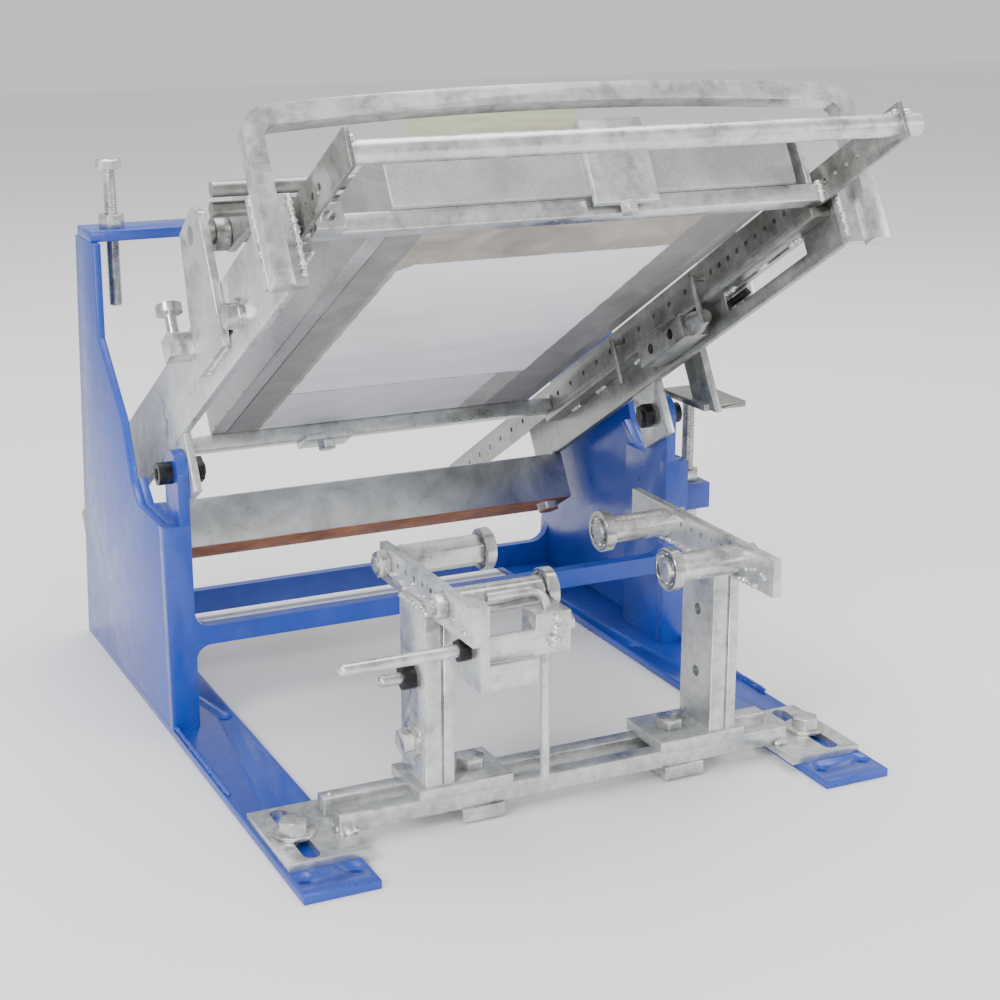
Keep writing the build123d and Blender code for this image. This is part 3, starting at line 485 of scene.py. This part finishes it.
def lathe(work, outline, around, turn=None, corners=0):
    """Add a turned shape; outline is (radius, height) pairs, closed into a ring when its ends meet."""
    turn = turn or Matrix()
    rings = []
    for radius, height in outline:
        ring = []
        for step in range(around):
            angle = math.tau * step / around
            ring.append(work.verts.new(turn @ Vector((radius * math.cos(angle), radius * math.sin(angle), height))))
        rings.append(ring)
    closed = corners == 0
    pairs = list(zip(rings, rings[1:]))
    if closed:
        pairs.append((rings[-1], rings[0]))
    for lower, upper in pairs:
        for step in range(around):
            after = (step + 1) % around
            work.faces.new((lower[step], lower[after], upper[after], upper[step]))
    if not closed:
        work.faces.new(reversed(rings[0]))
        work.faces.new(rings[-1])


def hexagon(work, across, low, high, turn=None):
    """Add a chamfered hexagon head or nut along local Z."""
    turn = turn or Matrix()
    reach = across / 2 / math.cos(math.pi / 6)
    cut = 0.13 * across / 2
    heights = [(0.9 * across / 2, low), (reach, low + cut), (reach, high - cut), (0.88 * across / 2, high)]
    rings = []
    for radius, z in heights:
        ring = []
        for step in range(24):
            angle = math.tau * step / 24
            facet = (angle + math.pi / 6) % (math.pi / 3) - math.pi / 6
            flat = across / 2 / math.cos(facet)
            ring.append(work.verts.new(turn @ Vector((
                min(radius, flat) * math.cos(angle), min(radius, flat) * math.sin(angle), z))))
        rings.append(ring)
    for lower, upper in zip(rings, rings[1:]):
        for step in range(24):
            after = (step + 1) % 24
            work.faces.new((lower[step], lower[after], upper[after], upper[step]))
    work.faces.new(reversed(rings[0]))
    work.faces.new(rings[-1])


def finish_mesh(name, work, degrees=35):
    """Turn a bmesh into a smooth shaded mesh with outward faces."""
    bmesh.ops.recalc_face_normals(work, faces=work.faces)
    mesh = bpy.data.meshes.new(name)
    work.to_mesh(mesh)
    work.free()
    smooth(mesh, degrees)
    return mesh


def threaded(node, head_across=0.0, head_high=0.0):
    """A screw in place of a plain one: threaded rod with a chamfered head on top."""
    low, high = (Vector(corner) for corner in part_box(node))
    middle = (low + high) / 2
    radius = 5.0 * MM
    top = high.z - low.z
    work = bmesh.new()
    helix_rod(work, radius, 0, top - head_high, 1.5 * MM, 0.7 * MM)
    if head_high:
        hexagon(work, head_across, top - head_high, top)
    mesh = finish_mesh(node + "_thread", work)
    place = Matrix.Translation((middle.x, middle.y, low.z))
    add_piece(node + "_thread", mesh, MATERIALS[NODE_SLOT[node]], NODE_BODY[node], place, (node,))


threaded("print_stop_bolt", 17 * MM, 8 * MM)
threaded("tilt_stop_stud")


def ball_bearing(node):
    """Open ball bearing around X: chamfered outer ring, cage and balls."""
    low, high = (Vector(corner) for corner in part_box(node))
    middle = (low + high) / 2
    half = (high.x - low.x) / 2
    reach = (high.z - low.z) / 2
    turn = Matrix.Rotation(math.radians(90), 4, "Y")
    work = bmesh.new()
    chamfer = 0.6 * MM
    inside = 11.4 * MM
    lathe(work, [
        (inside, -half + chamfer / 2), (inside + chamfer / 2, -half), (reach - chamfer, -half),
        (reach, -half + chamfer), (reach, half - chamfer), (reach - chamfer, half),
        (inside + chamfer / 2, half), (inside, half - chamfer / 2)], 64, turn)
    cage = 1.3 * MM
    lathe(work, [
        (8.5 * MM, -cage), (inside + 0.1 * MM, -cage), (inside + 0.1 * MM, cage), (8.5 * MM, cage)], 64, turn)
    work.faces.ensure_lookup_table()
    for face in work.faces:
        if all(abs(vertex.co.x) < 1.31 * MM for vertex in face.verts):
            face.material_index = 1
    for step in range(9):
        angle = math.tau * step / 9
        centre = Vector((0, 10.0 * MM * math.cos(angle), 10.0 * MM * math.sin(angle)))
        bmesh.ops.create_icosphere(work, subdivisions=3, radius=1.5 * MM, matrix=Matrix.Translation(centre) @ Matrix.Diagonal((1.7, 1, 1, 1)))
    mesh = finish_mesh(node + "_balls", work)
    add_piece(
        node + "_balls", mesh, MATERIALS["bearing_steel"], NODE_BODY[node],
        Matrix.Translation(middle), (node,))
    mesh.materials.append(MATERIALS["black_hardware"])


for node in ("bearing_front_left", "bearing_front_right", "bearing_rear_left", "bearing_rear_right"):
    ball_bearing(node)


def return_spring():
    """Close wound wire coil with its ends drawn into the window of the arm."""
    work = bmesh.new()
    wire, coil, turns, length = 0.42 * MM, 2.25 * MM, 15, 26.4 * MM
    rings = []
    steps = turns * 16
    for step in range(steps + 1):
        angle = math.tau * turns * step / steps
        along = -143.3 * MM - length * step / steps
        centre = Vector((187.85 * MM + coil * math.cos(angle), along, 37.5 * MM + coil * math.sin(angle)))
        out = Vector((math.cos(angle), 0, math.sin(angle)))
        rings.append([
            work.verts.new(HEAD @ (centre + wire * (
                math.cos(math.tau * k / 6) * out + math.sin(math.tau * k / 6) * Vector((0, 1, 0)))))
            for k in range(6)])
    for lower, upper in zip(rings, rings[1:]):
        for k in range(6):
            after = (k + 1) % 6
            work.faces.new((lower[k], lower[after], upper[after], upper[k]))
    work.faces.new(rings[0])
    work.faces.new(reversed(rings[-1]))
    mesh = finish_mesh("spring_coil", work, 60)
    add_piece("spring_coil", mesh, MATERIALS["black_hardware"], "head", None, ("return_spring",))


return_spring()


def mesh_sheet():
    """The stretched fabric as a thin sheet in the head's own coordinates, taut and flat."""
    x0, x1, y0, y1 = -110 * MM, 146 * MM, -283 * MM, 143 * MM
    low, high = 63.42 * MM, 63.96 * MM
    across, along = 32, 52
    work = bmesh.new()
    layers = []
    for z in (low, high):
        layers.append([[
            work.verts.new((x0 + (x1 - x0) * i / across, y0 + (y1 - y0) * j / along, z))
            for j in range(along + 1)] for i in range(across + 1)])
    for layer, flip in ((layers[0], True), (layers[1], False)):
        for i in range(across):
            for j in range(along):
                face = [layer[i][j], layer[i + 1][j], layer[i + 1][j + 1], layer[i][j + 1]]
                work.faces.new(reversed(face) if flip else face)
    rim = [(i, 0) for i in range(across)] + [(across, j) for j in range(along)]
    rim += [(i, along) for i in range(across, 0, -1)] + [(0, j) for j in range(along, 0, -1)]
    for (i, j), (k, m) in zip(rim, rim[1:] + rim[:1]):
        work.faces.new((layers[0][i][j], layers[0][k][m], layers[1][k][m], layers[1][i][j]))
    mesh = finish_mesh("stretched_mesh", work)
    piece = add_piece(
        "stretched_mesh", mesh, MATERIALS["mesh_fabric"], "carriage", HEAD, ("screen_mesh",))


mesh_sheet()


# ---------------------------------------------------------------- weld beads

BEAD_BATCHES = {}


def bead(body, start, end, size=2.6, uneven=0.35, paint=None):
    """A row of overlapping, slightly irregular drops of weld from start to end, in scene metres."""
    start, end = Vector(start), Vector(end)
    count = max(1, int((end - start).length / (size * 0.62 * MM)))
    work = BEAD_BATCHES.setdefault((body, paint), bmesh.new())
    random.seed(int(1e5 * abs(start.x + 2 * start.y + 3 * start.z)))
    for step in range(count + 1):
        centre = start.lerp(end, step / max(1, count))
        centre += Vector([random.uniform(-0.16, 0.16) * size * MM for _ in range(3)])
        radius = size * MM * random.uniform(1 - uneven, 1 + uneven * 0.5)
        stretch = Matrix.Diagonal((random.uniform(0.8, 1.2), random.uniform(0.8, 1.2), random.uniform(0.7, 1.0), 1))
        drop = bmesh.ops.create_icosphere(
            work, subdivisions=2, radius=radius, matrix=Matrix.Translation(centre) @ stretch)
        for vertex in drop["verts"]:
            shift = noise.noise(vertex.co * 500) * 0.14
            vertex.co = centre + (vertex.co - centre) * (1 + shift)


def head_bead(body, start, end, size=2.6, uneven=0.35, paint=None):
    """A bead given in millimetres on the head."""
    bead(body, head_point(*start), head_point(*end), size, uneven, paint)


for side in (-1, 1):
    # ends of the handle on the arms' front plates
    head_bead("head", (side * 184, -302, 26), (side * 184, -302, 74), 2.4)
    head_bead("head", (side * 190, -296.5, 24), (side * 190, -296.5, 72), 2.2)
    # short welds of the guide bars under the arms
    for y in (-250, -205, -160, -60, -10, 60, 110):
        head_bead("head", (side * 184.5, y, 44), (side * 184.5, y + 12, 44), 2.2)
    # hinge plates and counterweight
    head_bead("head", (side * 188, -18, 22.5), (side * 188, 18, 22.5), 2.2)
    head_bead("head", (side * 184, 178, 22), (side * 184, 210, 22), 2.4)
    # shaft brackets against the arms
    head_bead("head", (side * 191.5, -160, 34.5), (side * 191.5, -110, 34.5), 2.0)
    # swing arms on their collars and crossbars
    head_bead("squeegee", (side * 169, -207, 126), (side * 169, -196, 116), 2.2)
    # carriage strips to front rod and both bars
    head_bead("carriage", (side * 176, -388, 68), (side * 176, -378, 70), 3.0)
    head_bead("carriage", (side * 176, -296, 64), (side * 176, -284, 64), 2.8)
    head_bead("carriage", (side * 176, -297, 53), (side * 176, -297, 64), 2.4)
    head_bead("carriage", (side * 176, 144, 64), (side * 176, 156, 64), 2.4)
    # painted welds of feet and side plates, behind the reach of the sliding rail
    bead("base", (side * 209 * MM, 0.0, 0.0085), (side * 209 * MM, 0.20, 0.0085), 1.6, 0.2, "blue_paint")

head_bead("carriage", (-176, -300, 66), (-163, -302, 67), 3.4)
head_bead("carriage", (-177, -330, 54), (-177, -300, 56), 2.6)
head_bead("carriage", (-177, -345, 56), (-177, -338, 60), 2.8)
head_bead("carriage", (186, -386, 69), (193, -380, 68), 3.2)
head_bead("carriage", (52, -303, 100), (52, -303, 60), 1.4)
head_bead("head", (216, -44, 42), (216, -16, 42), 2.2)
for x, y0, y1 in ((-98.5, -0.150, -0.100), (-98.5, -0.060, -0.020), (103.8, -0.060, -0.020), (103.8, -0.140, -0.110)):
    bead("left_post" if x < 0 else "right_post", (x * MM, y0, 0.150), (x * MM, y1, 0.150), 2.2)
bead("left_post", (-0.106, -0.095, 0.1495), (-0.090, -0.095, 0.1495), 3.2)
bead("left_post", (-0.106, -0.055, 0.1495), (-0.106, -0.090, 0.1495), 2.6)
bead("right_post", (0.104, -0.094, 0.1495), (0.104, -0.052, 0.1495), 2.6)
bead("left_post", (-0.048, -0.1535, 0.140), (-0.046, -0.1535, 0.156), 4.0, 0.5)
bead("rail", (-0.164, -0.0925, 0.012), (-0.164, -0.0805, 0.0125), 2.4)
bead("rail", (-0.162, -0.094, 0.012), (-0.156, -0.094, 0.0125), 2.8)
bead("rail", (0.158, -0.094, 0.0125), (0.164, -0.094, 0.0125), 2.4)
bead("rail", (-0.160, -0.0515, 0.012), (-0.160, -0.060, 0.023), 2.4)

for y in (-288, -262, -236, -210, -184, -100, -60, 0, 60):
    # pairs of tacks along the inner lower edges of the guide bars
    head_bead("head", (-171.5, y, 44.5), (-171.5, y + 9, 44.5), 1.8)
for y in (-40, 0, 40, 90, 128):
    head_bead("carriage", (-121.5, y, 66), (-121.5, y + 4, 66), 1.0, 0.2)
for z in (30, 38, 46, 54, 62, 70):
    head_bead("head", (-207, -301, z), (-207, -301, z + 3), 1.5)
for y, z in ((-352, 60), (-344, 64), (-336, 58), (-328, 62), (-320, 56), (-312, 60), (-306, 56)):
    # spatter where the left strip was built up with weld
    head_bead("carriage", (-176.4, y, z), (-176.4, y + 4, z + 2), 2.1, 0.45)
for step in range(9):
    y = -0.150 + 0.0155 * step
    bead("left_post", (-0.1052, y, 0.154 + 0.004 * (step % 3)), (-0.1052, y + 0.006, 0.157), 1.7, 0.45)
for step in range(5):
    y = -0.150 + 0.011 * step
    bead("right_post", (0.1038, y, 0.158 + 0.003 * (step % 2)), (0.1038, y + 0.004, 0.160), 1.6, 0.45)

for (body, paint), work in BEAD_BATCHES.items():
    mesh = finish_mesh("welds_" + body, work, 180)
    name = "welds_" + body + ("_painted" if paint else "")
    add_piece(name, mesh, MATERIALS[paint] if paint else WELD, body)

# ---------------------------------------------------------------- floor, light and camera

floor_mesh = bpy.data.meshes.new("floor")
floor_mesh.from_pydata([(-6, -6, 0), (6, -6, 0), (6, 6, 0), (-6, 6, 0)], [], [(0, 1, 2, 3)])
floor = bpy.data.objects.new("floor", floor_mesh)
bpy.context.scene.collection.objects.link(floor)
floor_mesh.materials.append(floor_material())


def softbox(name, place, target, size, power):
    """Rectangular studio light aimed at a point."""
    data = bpy.data.lights.new(name, "AREA")
    data.shape = "RECTANGLE"
    data.size, data.size_y = size
    data.energy = power
    light = bpy.data.objects.new(name, data)
    light.location = place
    light.rotation_euler = (Vector(target) - Vector(place)).to_track_quat("-Z", "Y").to_euler()
    bpy.context.scene.collection.objects.link(light)


CENTRE = (0.0, 0.05, 0.22)
softbox("key_left", (-1.9, -1.2, 1.7), CENTRE, (0.9, 0.9), 42)
softbox("fill_right", (1.8, -1.4, 0.8), CENTRE, (0.8, 0.8), 12)
softbox("front_low", (-0.9, -2.3, 0.7), CENTRE, (1.0, 0.7), 20)
softbox("top", (0.2, 0.5, 2.4), CENTRE, (2.0, 2.0), 62)

world = bpy.data.worlds.new("studio")
bpy.context.scene.world = world
world.use_nodes = True
world.node_tree.nodes["Background"].inputs["Color"].default_value = (1.0, 1.0, 1.0, 1)
world.node_tree.nodes["Background"].inputs["Strength"].default_value = 0.8

camera_data = bpy.data.cameras.new("camera")
camera_data.sensor_width = 36
camera_data.lens = 68.6
camera = bpy.data.objects.new("camera", camera_data)
camera.location = (-0.5431, -1.1133, 0.550)
camera.rotation_euler = (math.radians(90 - 16.48), 0, math.radians(-25.55))
bpy.context.scene.collection.objects.link(camera)
bpy.context.scene.camera = camera
